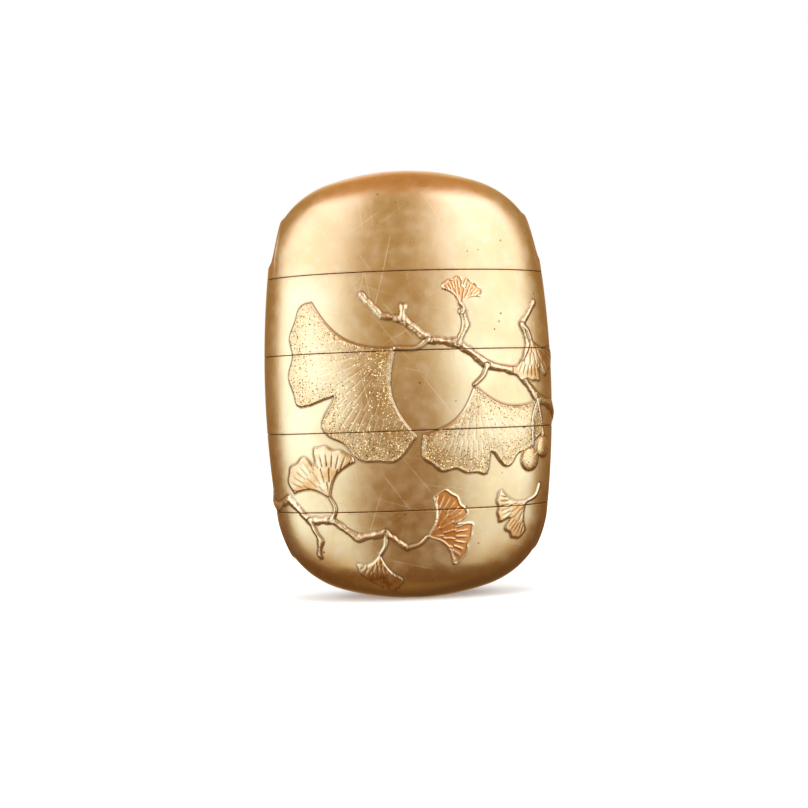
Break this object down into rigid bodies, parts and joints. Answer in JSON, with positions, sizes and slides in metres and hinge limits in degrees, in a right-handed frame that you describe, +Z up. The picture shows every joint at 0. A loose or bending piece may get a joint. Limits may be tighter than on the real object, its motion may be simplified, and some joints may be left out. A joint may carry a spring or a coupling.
{
  "type": "inro",
  "caption": "Flat oval stacking case in gold lacquer: a domed lid and nesting cases on risers, with cord channels through both ends.",
  "frame": {"origin": "middle of the foot, on the face it stands on", "axes": "+Z up through the stack, +X to the right in the picture, front faces -Y"},
  "size_m": [0.058, 0.026, 0.0854],
  "materials": {
    "gold_lacquer": "satin gold lacquer over wood, with raised gold decoration",
    "riser_gold": "smooth gold lacquer over wood",
    "flake_lacquer": "glossy red-brown lacquer with gold flakes",
    "dark_lacquer": "smooth dark lacquer"
  },
  "bodies": {
    "lid": {"lid_wall": "gold_lacquer", "lid_crown_board": "gold_lacquer"},
    "case_1": {"case_1_wall": "gold_lacquer", "case_1_riser": "riser_gold", "case_1_floor_board": "flake_lacquer", "case_1_cord_tube_left": "dark_lacquer", "case_1_cord_tube_right": "dark_lacquer"},
    "case_2": {"case_2_wall": "gold_lacquer", "case_2_riser": "riser_gold", "case_2_floor_board": "flake_lacquer", "case_2_cord_tube_left": "dark_lacquer", "case_2_cord_tube_right": "dark_lacquer"},
    "case_3": {"case_3_wall": "gold_lacquer", "case_3_riser": "riser_gold", "case_3_floor_board": "flake_lacquer", "case_3_cord_tube_left": "dark_lacquer", "case_3_cord_tube_right": "dark_lacquer"},
    "base_case": {"base_case_wall": "gold_lacquer", "base_case_bottom_board": "gold_lacquer", "base_case_riser": "riser_gold", "base_case_cord_tube_left": "dark_lacquer", "base_case_cord_tube_right": "dark_lacquer"}
  },
  "joints": [
    {"name": "case_3_lift", "type": "slide", "parent": "base_case", "child": "case_3", "axis": [0, 0, 1], "range_m": [0, 0.02]},
    {"name": "case_2_lift", "type": "slide", "parent": "case_3", "child": "case_2", "axis": [0, 0, 1], "range_m": [0, 0.02]},
    {"name": "case_1_lift", "type": "slide", "parent": "case_2", "child": "case_1", "axis": [0, 0, 1], "range_m": [0, 0.02]},
    {"name": "lid_lift", "type": "slide", "parent": "case_1", "child": "lid", "axis": [0, 0, 1], "range_m": [0, 0.02]}
  ]
}
